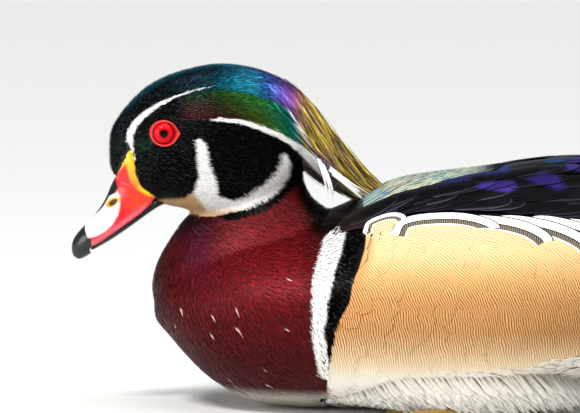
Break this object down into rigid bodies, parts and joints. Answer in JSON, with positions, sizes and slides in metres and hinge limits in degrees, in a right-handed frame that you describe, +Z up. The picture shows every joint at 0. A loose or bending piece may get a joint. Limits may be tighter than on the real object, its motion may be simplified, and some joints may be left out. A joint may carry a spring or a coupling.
{
  "type": "wood duck drake model",
  "caption": "Still life-size drake wood duck resting on its belly, head drawn in, with crest, folded wings, raised tail and tucked feet.",
  "frame": {"origin": "centre of the flat under the belly on which the duck rests", "axes": "-X the way the duck faces, +Y its right side, +Z up"},
  "size_m": [0.3861, 0.1548, 0.1592],
  "materials": {
    "chestnut_plumage": "soft feathers, maroon chestnut",
    "belly_plumage": "soft white feathers under a bronze back",
    "flank_plumage": "buff feathers with fine dark wavy bars",
    "head_plumage": "silky green, blue and purple gloss with white lines",
    "wing_plumage": "glossy blue-black vanes",
    "tail_plumage": "green-black vanes",
    "bill": "smooth horn, red and white with a yellow edge and a black ridge and nail",
    "bill_under": "smooth black horn",
    "eye": "wet, red iris with a black pupil",
    "foot": "scaly dull straw-yellow skin with dark webs"
  },
  "bodies": {
    "root": {"head": "head_plumage", "crest": "head_plumage", "neck": "chestnut_plumage", "breast": "chestnut_plumage", "torso": "belly_plumage", "flank_left": "flank_plumage", "flank_right": "flank_plumage", "wing_left": "wing_plumage", "wing_right": "wing_plumage", "tail": "tail_plumage", "bill_upper": "bill", "bill_lower": "bill_under", "eye_left": "eye", "eye_right": "eye", "leg_left": "foot", "leg_right": "foot", "foot_left": "foot", "foot_right": "foot"}
  },
  "joints": []
}
